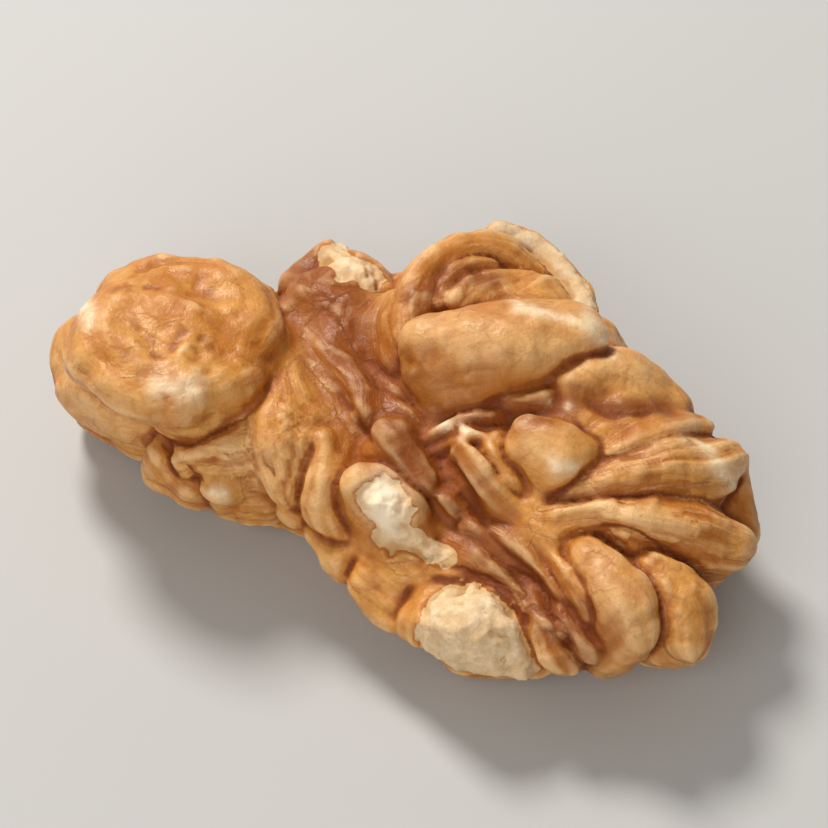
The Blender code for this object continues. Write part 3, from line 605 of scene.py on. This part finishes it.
def markMasks(points, normal):
    # How strongly each kind of mark shows at each point that the camera sees, the dark grooves' depth,
    # and the height of the fibres in the middle groove.
    turn, tilt = math.radians(photoView["azimuth"]), math.radians(photoView["elevation"])
    right = np.array((math.cos(turn), math.sin(turn), 0))
    toward = np.array((math.sin(turn) * math.cos(tilt), -math.cos(turn) * math.cos(tilt), math.sin(tilt)))
    place = np.stack([points @ right, points @ np.cross(toward, right), np.zeros(len(points))], axis=1)
    depth = points @ toward
    cell = ((place[:, :2] + 40) / 0.4).astype(int)
    front = np.full((200, 200), -99.0)
    np.maximum.at(front, tuple(cell.T), depth)
    seen = smoothStep(normal @ toward, 0.0, 0.3) * smoothStep(depth - front[tuple(cell.T)], -2.2, -1.2)
    place = place + 0.25 * np.stack([noiseAt(points, 1.3, 81), noiseAt(points, 1.3, 82), 0 * depth], axis=1)
    masks = {kind: np.zeros(len(points)) for kind in marks}
    carved = np.zeros(len(points))
    for kind, (width, *deep, line) in ((kind, row) for kind, rows in marks.items() for row in rows):
        path = growPath([(u, v, 0, 0) for u, v in line], 0.4)
        away = chainDistance(place, path)
        ends = np.minimum(*(np.linalg.norm(place - path[i, :3], axis=1) for i in (0, -1)))
        mask = np.exp(-(away / width) ** 2) * seen
        if kind == "crease":
            mask = mask * smoothStep(ends, 0, 1.2)
            carved = np.maximum(carved, mask * deep[0])
        masks[kind] = np.maximum(masks[kind], mask)
    # The groove's fibres run out from its middle at the back, and along it at the front.
    middle = place[:, :2] - surface["fibreMiddle"]
    turned = np.arctan2(middle[:, 1], middle[:, 0])
    rays = np.stack([turned * 4.5, np.hypot(*middle.T) / 2.6, depth / 3], axis=1)
    strips = np.stack([place @ (2.4, 2.0, 0), place @ (0.25, -0.33, 0), depth / 3], axis=1)
    lower = smoothStep(place @ (0.64, -0.77, 0), -4.2, -2.6)[:, None]
    fibres = sum((noiseAt(rays * k, 1.0, 83 + k) * (1 - lower[:, 0])
                  + noiseAt(strips * k, 1.0, 88 + k) * lower[:, 0]) / k for k in (1, 2, 4))
    return masks, carved, fibres


def hollowness(points, normal, edges):
    # How far each point stands out of its surroundings. It is below zero in a hollow.
    bent = np.zeros(len(points))
    for times, weight in ((4, 4.0), (24, 1.4)):
        mean = spread(points, edges, 1.0, times)
        bent += weight * ((points - mean) * normal).sum(1)
    return spread(bent, edges, 1.0, 1)


def sculpt(points, quads, edges):
    # Carves the creases, wrinkles, pits and broken flesh, and returns the masks for the colours.
    normal = spread(pointNormals(points, quads), edges, 1.0, 4)
    normal /= np.linalg.norm(normal, axis=1)[:, None]
    owner, first, second, along, around = nearestFold(points)
    names = ["body"] + list(folds)
    say("folds found")

    onFold = 1 - smoothStep(first, 0.15, 0.6)
    groove = np.exp(-((second - first) / surface["creaseWidth"]) ** 1.3) * onFold
    groove = groove * smoothStep(hollowness(points, normal, edges), 0.12, -0.1)
    groove = spread(groove, edges, 1.0, 2)
    wrinkle = np.array([0.6] + [fold[1] for fold in folds.values()])[owner]
    wrinkle = spread(wrinkle, edges, 1.0, 3)
    stout = np.array([1.0] + [min(1, max(row[3] for row in fold[2])) for fold in folds.values()]) ** 1.5
    stout = spread(stout[owner], edges, 1.0, 3)
    lengthwise = np.stack([around / 0.5, along / 4.0, owner * 7.3], axis=1)
    crosswise = np.stack([around / 3.0, along / 0.6, owner * 5.1 + 40], axis=1)
    streaks = noiseAt(lengthwise, 1.0, 71) + 0.5 * noiseAt(lengthwise * 2.1, 1.0, 72)
    ribs = noiseAt(crosswise, 1.0, 73)
    folded = np.exp(-(noiseAt(lengthwise * 0.8, 1.0, 74) / 0.13) ** 2)
    pleats = np.exp(-(noiseAt(crosswise * 0.7, 1.0, 75) / 0.12) ** 2)
    masks, carved, fibres = markMasks(points, normal)

    ragged = noiseAt(points, 0.9, 91) * 0.5 + noiseAt(points, 0.35, 92) * 0.45
    flesh = masks["flesh"]
    for name, start, end, side in kernel["brokenFolds"]:
        here = (owner == names.index(name)) * (1 - smoothStep(first, 0.2, 0.5))
        here = here * (smoothStep(normal @ side, 0.1, 0.5) if side else 1)
        here = here * smoothStep(points[:, 0], start - 0.6, start + 0.6)
        here = here * smoothStep(points[:, 0], end + 0.6, end - 0.6)
        flesh = np.maximum(flesh, here * (1 - groove))
    under = np.exp(-((points - kernel["scar"]) ** 2 / np.array(kernel["scarSize"]) ** 2).sum(1))
    flesh = np.maximum(flesh, under)
    flesh = spread(flesh, edges, 1.0, 2) + 0.35 * ragged
    stain = 1 - smoothStep(flesh, 0.5, 1.15)
    flesh = smoothStep(flesh, 0.42, 0.58)

    pits = cellsAt(points, surface["pitSize"], 95)[0]
    away = (points - surface["headTop"]) ** 2 / np.array(surface["headTopSize"]) ** 2
    headTop = np.exp(-away.sum(1) ** 2)
    pitted = smoothStep(pits, 0.48, 0.2) * headTop * smoothStep(noiseAt(points, 1.7, 63), -0.15, 0.25)
    face = cellsAt(points, surface["crumbSize"], 96)[2]
    crumb, _, crumbFace = cellsAt(points, surface["smallCrumbSize"], 97)

    skinHeight = surface["streakHeight"] * wrinkle * streaks + surface["ribHeight"] * ribs
    skinHeight = skinHeight - surface["pitDepth"] * pitted
    skinHeight = skinHeight - wrinkle * (surface["wrinkleDepth"] * folded + surface["pleatDepth"] * pleats)
    skinHeight = skinHeight + headTop * surface["headRoughness"] * noiseAt(points, 1.1, 62)
    for n, (size, depth) in enumerate(surface["lumps"]):
        skinHeight = skinHeight + depth * noiseAt(points, size, 50 + n)
    fibreHeight = surface["fibreHeight"] * fibres + surface["fibreRoughness"] * noiseAt(points, 0.45, 61)
    skinHeight = (skinHeight + masks["red"] * fibreHeight) * stout
    fleshHeight = surface["crumbTilt"] * face + surface["smallCrumbTilt"] * crumbFace
    fleshHeight = (fleshHeight - surface["crumbPit"] * np.exp(-(crumb / 0.3) ** 2)) * stout ** 3
    fleshHeight = fleshHeight - surface["fleshSink"] - surface["fleshEdgeSink"] * stain
    height = skinHeight + (fleshHeight - skinHeight) * flesh
    height = height - surface["creaseDepth"] * groove - carved * (1 - 0.5 * flesh)
    height = spread(height, edges, 1.0, 1)
    points = points + normal * height[:, None]

    bent = hollowness(points, normal, edges)
    # The crease mask paints shade into the creases, kept to the places where the surface is hollow.
    drawn = masks["crease"] * np.clip(carved * 5, 0, 0.9)
    crease = np.clip(np.maximum((groove * 1.45) ** 1.5, drawn), 0, 1)
    crease = crease * smoothStep(bent, 0.15, -0.15)
    # The relief: below zero where the surface is hollow, which gets painted shade, and above zero on
    # ridges, which get a painted highlight.
    ridge = np.clip(bent * 1.6, -1, 1)
    # Wear and painted highlights, kept to the places that stand out and to the bare flesh.
    worn = masks["worn"] * np.maximum(smoothStep(bent, -0.12, 0.1), flesh)
    tint = np.random.default_rng(5).uniform(-1, 1, len(names))[owner]
    tint = spread(tint, edges, 1.0, 6)
    streak = streaks * wrinkle + 0.5 * ribs - 1.2 * wrinkle * folded + 1.2 * masks["red"] * fibres
    return points, {"crease": crease, "relief": ridge, "flesh": flesh, "worn": worn, "red": masks["red"],
                    "pale": masks["pale"], "tint": tint, "streak": streak, "pitted": pitted,
                    "stain": stain, "along": along, "around": around,
                    "fibrous": smoothStep(wrinkle, 0.1, 1.5)}


def makeKernel():
    field, low = buildField()
    fillPinches(field)
    say("folds grown")
    points, quads = wrapSurface(field, low)
    say(f"net of {len(quads)} quads")
    points, quads = keepLargest(points, quads)
    edges = meshEdges(quads)
    for weight in kernel["smoothing"]:
        points = spread(points, edges, weight)
    points, values = sculpt(points, quads, edges)
    points[:, 2] = np.maximum(points[:, 2], kernel["restHeight"])
    say(f"{len(points)} points sculpted")

    placed = (points + np.array(kernel["shift"])) * 0.001
    mesh = bpy.data.meshes.new("walnutKernel")
    mesh.from_pydata(placed, [], quads)
    for name, value in values.items():
        mesh.attributes.new(name, "FLOAT", "POINT").data.foreach_set("value", value.astype(np.float32))
    piece = bpy.data.objects.new("walnutKernel", mesh)
    bpy.context.scene.collection.objects.link(piece)
    thin = piece.modifiers.new("thin", "DECIMATE")
    thin.ratio = min(1.0, kernel["mostTriangles"] / (2 * len(quads)))
    whole = bpy.data.meshes.new_from_object(piece.evaluated_get(bpy.context.evaluated_depsgraph_get()))
    piece.modifiers.clear()
    piece.data = whole
    whole.name = "walnutKernel"
    whole.shade_smooth()
    say(f"{sum(len(face.vertices) - 2 for face in whole.polygons)} triangles")
    return piece


# A sheet of pale paper and two soft lamps, each with its place, size and power. Lengths are in metres.
studio = {
    "floorHalf": 3,
    "floorColour": (0.50, 0.51, 0.515, 1),
    "floorRoughness": 0.7,
    "airColour": (1.0, 0.93, 0.85, 1),
    "airStrength": 0.3,
    "lampColour": (1.0, 0.95, 0.89),
    "lamps": (("keyLight", (-0.17, 0.13, 0.24), 0.09, 1.02),
              ("fillLight", (0.0, -0.26, 0.2), 0.3, 0.5)),
}


def makeStage():
    floorMesh = bpy.data.meshes.new("floor")
    s = studio["floorHalf"]
    floorMesh.from_pydata([(-s, -s, 0), (s, -s, 0), (s, s, 0), (-s, s, 0)], [], [(0, 1, 2, 3)])
    floor = bpy.data.objects.new("floor", floorMesh)
    bpy.context.scene.collection.objects.link(floor)
    paper = bpy.data.materials.new("paper")
    paper.use_nodes = True
    shader = paper.node_tree.nodes["Principled BSDF"]
    shader.inputs["Base Color"].default_value = studio["floorColour"]
    shader.inputs["Roughness"].default_value = studio["floorRoughness"]
    floorMesh.materials.append(paper)

    world = bpy.data.worlds.new("studio")
    bpy.context.scene.world = world
    world.use_nodes = True
    air = world.node_tree.nodes["Background"]
    air.inputs["Color"].default_value = studio["airColour"]
    air.inputs["Strength"].default_value = studio["airStrength"]

    for name, place, size, power in studio["lamps"]:
        light = bpy.data.lights.new(name, "AREA")
        light.shape = "DISK"
        light.size = size
        light.energy = power
        light.color = studio["lampColour"]
        lamp = bpy.data.objects.new(name, light)
        bpy.context.scene.collection.objects.link(lamp)
        lamp.location = place
        lamp.rotation_mode = "QUATERNION"
        lamp.rotation_quaternion = (-Vector(place)).to_track_quat("-Z", "Y")


def makeCamera():
    azimuth, elevation = (math.radians(photoView[k]) for k in ("azimuth", "elevation"))
    back = Vector((math.sin(azimuth) * math.cos(elevation), -math.cos(azimuth) * math.cos(elevation),
                   math.sin(elevation)))
    camera = bpy.data.objects.new("camera", bpy.data.cameras.new("camera"))
    bpy.context.scene.collection.objects.link(camera)
    camera.data.lens = photoView["lens"]
    camera.data.clip_start = 0.005
    camera.location = Vector(photoView["aim"]) + back * photoView["distance"]
    camera.rotation_mode = "QUATERNION"
    camera.rotation_quaternion = (-back).to_track_quat("-Z", "Y")
    bpy.context.scene.camera = camera


# The skin and the bare flesh under it. Colours are linear, and sizes are in millimetres.
skin = {
    "honey": (0.69, 0.335, 0.080, 1),
    "tan": (0.55, 0.205, 0.030, 1),
    "amber": (0.38, 0.105, 0.008, 1),
    "redBrown": (0.24, 0.056, 0.007, 1),
    # painted shade for the creases
    "deep": (0.20, 0.040, 0.001, 1),
    "pale": (0.84, 0.56, 0.27, 1),
    "cream": (0.90, 0.73, 0.49, 1),
    "greyCream": (0.68, 0.54, 0.37, 1),
    "fleshPit": (0.50, 0.28, 0.10, 1),
    "stain": (0.66, 0.40, 0.16, 1),
    # painted highlight on the bare flesh, with some wear
    "rubbedAndHighlight": (0.97, 0.86, 0.66, 1),
    "roughness": 0.4,
    "gloss": 0.32,
    "glow": 0.2,
    "glowReach": (1.0, 0.45, 0.18),
    "glowDepth": 0.0008,           # in metres
    "broadSize": 3.4,              # sizes of the blotches, veins and crumbs
    "closeSize": 0.8,
    "goldenSize": 1.3,
    "crumbSize": 0.35,
    "veinSize": 2.1,
    "veinWidth": 0.07,
    # how strongly each layer of colour covers the ones under it
    # painted shade where the surface is hollow
    "hollowShade": 0.9,
    "streaks": 0.6,
    "fineDark": 0.55,
    "finePale": 0.5,
    "paleStreaks": 0.4,
    "blotches": 0.35,
    "veins": 0.25,
    # painted highlight on the ridges
    "ridgeHighlight": 0.7,
    "redRidges": 0.5,
    "specks": 0.35,
    "pits": 0.7,
    "fleshSpecks": 0.7,
    "goldenPatches": 0.4,
    "crumbs": 0.3,
    # painted highlight and wear on the bare flesh
    "fleshRubbedAndHighlight": 0.85,
}


class Tree:
    # Adds nodes to a node tree and joins them by the names of their sockets.
    def __init__(self, tree):
        self.tree = tree

    def add(self, kind, label, settings=None, **inputs):
        node = self.tree.nodes.new("ShaderNode" + kind)
        node.label = label
        for name, value in (settings or {}).items():
            setattr(node, name, value)
        for name, value in inputs.items():
            self.feed(node, name, value)
        return node

    def feed(self, node, name, value):
        socket = node.inputs[int(name[1:])] if name[0] == "i" and name[1:].isdigit() else node.inputs[name]
        if isinstance(value, bpy.types.NodeSocket):
            self.tree.links.new(value, socket)
        else:
            socket.default_value = value

    def blend(self, label, factor, low, high, kind="MIX"):
        node = self.add("Mix", label, {"data_type": "RGBA", "blend_type": kind})
        for index, value in ((0, factor), (6, low), (7, high)):
            self.feed(node, f"i{index}", value)
        return node.outputs[2]

    def maths(self, operation, a, b=0.0, label=""):
        return self.add("Math", label, {"operation": operation}, i0=a, i1=b).outputs[0]

    def range(self, value, low, high, toLow=0.0, toHigh=1.0, label=""):
        node = self.add("MapRange", label, {"interpolation_type": "SMOOTHSTEP"})
        for index, v in enumerate((value, low, high, toLow, toHigh)):
            self.feed(node, f"i{index}", v)
        return node.outputs[0]

    def mask(self, name):
        return self.add("Attribute", name, {"attribute_name": name}).outputs["Fac"]


def nodeGroup(name, inputs, outputs):
    group = bpy.data.node_groups.new(name, "ShaderNodeTree")
    for side, sockets in (("INPUT", inputs), ("OUTPUT", outputs)):
        for label, kind in sockets:
            group.interface.new_socket(label, in_out=side, socket_type="NodeSocket" + kind)
    tree = Tree(group)
    return group, tree, group.nodes.new("NodeGroupInput"), group.nodes.new("NodeGroupOutput")


def makeMottle():
    group, tree, start, end = nodeGroup("mottle", [("Vector", "Vector"), ("Size", "Float")],
                                        [("Blotch", "Float"), ("Speck", "Float")])
    scale = tree.maths("DIVIDE", 1.0, start.outputs["Size"], "size to scale")
    blotch = tree.add("TexNoise", "blotches", Vector=start.outputs["Vector"], Scale=scale, Detail=5.0,
                      Roughness=0.62, Distortion=0.8).outputs["Fac"]
    speck = tree.add("TexNoise", "specks", Vector=start.outputs["Vector"],
                     Scale=tree.maths("MULTIPLY", scale, 4.5), Detail=3.0, Roughness=0.7).outputs["Fac"]
    group.links.new(tree.range(blotch, 0.36, 0.66), end.inputs["Blotch"])
    group.links.new(tree.range(speck, 0.58, 0.72), end.inputs["Speck"])
    return group


def makeVeins():
    group, tree, start, end = nodeGroup("veins", [("Vector", "Vector"), ("Size", "Float"),
                                                  ("Width", "Float")], [("Vein", "Float")])
    bend = tree.add("TexNoise", "bend", Vector=start.outputs["Vector"], Scale=0.7, Detail=3.0)
    shift = tree.add("VectorMath", "bend it", {"operation": "MULTIPLY_ADD"}, i0=bend.outputs["Color"],
                     i1=(1.6, 1.6, 1.6), i2=start.outputs["Vector"])
    scale = tree.maths("DIVIDE", 1.0, start.outputs["Size"], "size to scale")
    net = tree.add("TexVoronoi", "net", {"feature": "DISTANCE_TO_EDGE"}, Vector=shift.outputs[0],
                   Scale=scale)
    fade = tree.add("TexNoise", "fade", Vector=start.outputs["Vector"], Scale=0.45, Detail=2.0)
    line = tree.range(net.outputs["Distance"], 0.0, start.outputs["Width"], 1.0, 0.0)
    group.links.new(tree.maths("MULTIPLY", line, tree.range(fade.outputs["Fac"], 0.42, 0.62)),
                    end.inputs["Vein"])
    return group


def makeSkin():
    pellicle = bpy.data.materials.new("pellicle")
    pellicle.use_nodes = True
    tree = Tree(pellicle.node_tree)
    shader = pellicle.node_tree.nodes["Principled BSDF"]
    place = tree.add("TexCoord", "place").outputs["Object"]
    mm = tree.add("VectorMath", "to mm", {"operation": "SCALE"}, i0=place, Scale=1000.0).outputs[0]

    def group(made, **inputs):
        node = tree.add("Group", made.name, {"node_tree": made}, **inputs)
        return node.outputs

    def covered(mask, strength):
        return tree.maths("MULTIPLY", mask, strength)

    mottle, veins = makeMottle(), makeVeins()
    broad = group(mottle, Vector=mm, Size=skin["broadSize"])
    close = group(mottle, Vector=mm, Size=skin["closeSize"])
    lines = group(veins, Vector=mm, Size=skin["veinSize"], Width=skin["veinWidth"])["Vein"]
    crumbs = group(mottle, Vector=mm, Size=skin["crumbSize"])
    relief, crease, flesh = tree.mask("relief"), tree.mask("crease"), tree.mask("flesh")
    worn, red, tint = tree.mask("worn"), tree.mask("red"), tree.mask("tint")
    streak, pitted, stain = tree.mask("streak"), tree.mask("pitted"), tree.mask("stain")
    run = tree.add("CombineXYZ", "place on the fold", X=tree.maths("MULTIPLY", tree.mask("around"), 4.2),
                   Y=tree.maths("MULTIPLY", tree.mask("along"), 0.5), Z=tree.maths("MULTIPLY", tint, 3.0))
    fibre = tree.add("TexNoise", "fine streaks", Vector=run.outputs[0], Scale=1.0, Detail=3.0,
                     Roughness=0.6).outputs["Fac"]
    fibrous = tree.mask("fibrous")

    # The skin, layer on layer.
    tone = tree.range(tree.maths("ADD", broad["Blotch"], tree.maths("MULTIPLY", tint, 0.45)), 0.1, 1.1)
    colour = tree.blend("honey and tan", tone, skin["honey"], skin["tan"])
    for label, factor, paint in (
            ("pale areas", covered(tree.mask("pale"), tree.range(broad["Speck"], 0, 1, 0.55, 0.3)), "pale"),
            # Painted shade: amber where the surface is hollow.
            ("amber hollows", tree.range(relief, 0.02, -0.5, 0.0, skin["hollowShade"]), "amber"),
            ("red-brown", covered(red, tree.range(broad["Blotch"], 0, 1, 1.0, 0.75)), "redBrown"),
            ("streaks", tree.range(streak, -0.2, -1.4, 0.0, skin["streaks"]), "amber"),
            ("fine dark streaks", covered(fibrous, tree.range(fibre, 0.48, 0.3, 0.0, skin["fineDark"])),
             "amber"),
            ("fine pale streaks", covered(fibrous, tree.range(fibre, 0.52, 0.7, 0.0, skin["finePale"])),
             "pale"),
            ("pale streaks", tree.range(streak, 0.3, 1.4, 0.0, skin["paleStreaks"]), "pale"),
            ("small blotches", covered(close["Blotch"], skin["blotches"]), "amber"),
            ("veins", covered(lines, skin["veins"]), "redBrown"),
            # Painted highlight: paler on the ridges.
            ("pale ridges", tree.range(relief, 0.12, 0.75, 0.0, skin["ridgeHighlight"]), "pale"),
            ("red-brown ridges", covered(red, skin["redRidges"]), "redBrown"),
            ("specks", covered(close["Speck"], skin["specks"]), "redBrown"),
            ("head's pits", covered(pitted, skin["pits"]), "redBrown"),
            # Wear and painted highlights, nearly white, where the marks of that kind lie.
            ("worn lines", covered(worn, tree.range(close["Blotch"], 0, 1, 1, 0.6)), "cream"),
            # Painted shade: dark in the creases.
            ("creases", tree.range(crease, 0.25, 0.95), "deep")):
        colour = tree.blend(label, factor, colour, skin[paint])

    # The bare flesh, and the torn edge of the skin round it.
    golden = group(mottle, Vector=mm, Size=skin["goldenSize"])["Blotch"]
    bare = tree.blend("flesh", broad["Blotch"], skin["cream"], skin["greyCream"])
    for label, factor, paint in (
            # Painted shade: the flesh darker where it is hollow.
            ("flesh pits", tree.range(relief, -0.1, -0.6), "fleshPit"),
            ("flesh specks", covered(close["Speck"], skin["fleshSpecks"]), "fleshPit"),
            ("golden patches", covered(golden, skin["goldenPatches"]), "stain"),
            ("stained edge", covered(stain, tree.range(close["Blotch"], 0, 1, 0.35, 0.8)), "stain"),
            ("crumbs", covered(crumbs["Blotch"], skin["crumbs"]), "fleshPit"),
            # Painted highlight, with some wear: the flesh lighter under those marks.
            ("rubbed flesh", covered(worn, skin["fleshRubbedAndHighlight"]), "rubbedAndHighlight")):
        bare = tree.blend(label, factor, bare, skin[paint])
    colour = tree.blend("skin and flesh", tree.range(flesh, 0.3, 0.7), colour, bare)
    torn = tree.maths("MULTIPLY", tree.range(flesh, 0.05, 0.3), tree.range(flesh, 0.75, 0.4))
    torn = covered(torn, tree.range(close["Blotch"], 0, 1, 0.15, 0.7))
    colour = tree.blend("torn edge of the skin", torn, colour, skin["amber"])
    tree.feed(shader, "Base Color", colour)

    rough = tree.range(close["Blotch"], 0, 1, skin["roughness"] - 0.1, skin["roughness"] + 0.13)
    rough = tree.maths("ADD", rough, tree.maths("MULTIPLY", flesh, 0.35))
    rough = tree.maths("ADD", rough, tree.maths("MULTIPLY", crease, 0.25))
    tree.feed(shader, "Roughness", rough)
    fine = tree.add("TexNoise", "fine wrinkles", Vector=mm, Scale=5.0, Detail=4.0, Roughness=0.6)
    grain = tree.maths("ADD", fine.outputs["Fac"], tree.maths("MULTIPLY", lines, 0.3))
    grain = tree.maths("ADD", grain, tree.maths("MULTIPLY", tree.maths("MULTIPLY", fibre, fibrous), 1.6))
    bump = tree.add("Bump", "fine relief", Strength=0.8, Distance=0.00006, Height=grain)
    tree.feed(shader, "Normal", bump.outputs[0])
    tree.feed(shader, "Specular IOR Level", skin["gloss"])
    tree.feed(shader, "Subsurface Weight", skin["glow"])
    tree.feed(shader, "Subsurface Radius", skin["glowReach"])
    tree.feed(shader, "Subsurface Scale", skin["glowDepth"])
    return pellicle


bpy.context.scene.view_settings.view_transform = "Standard"
makeCamera()
makeStage()
say("stage and camera made")
walnut = makeKernel()
walnut.data.materials.append(makeSkin())
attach(walnut, "root")
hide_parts("walnut_kernel")
say("kernel made")
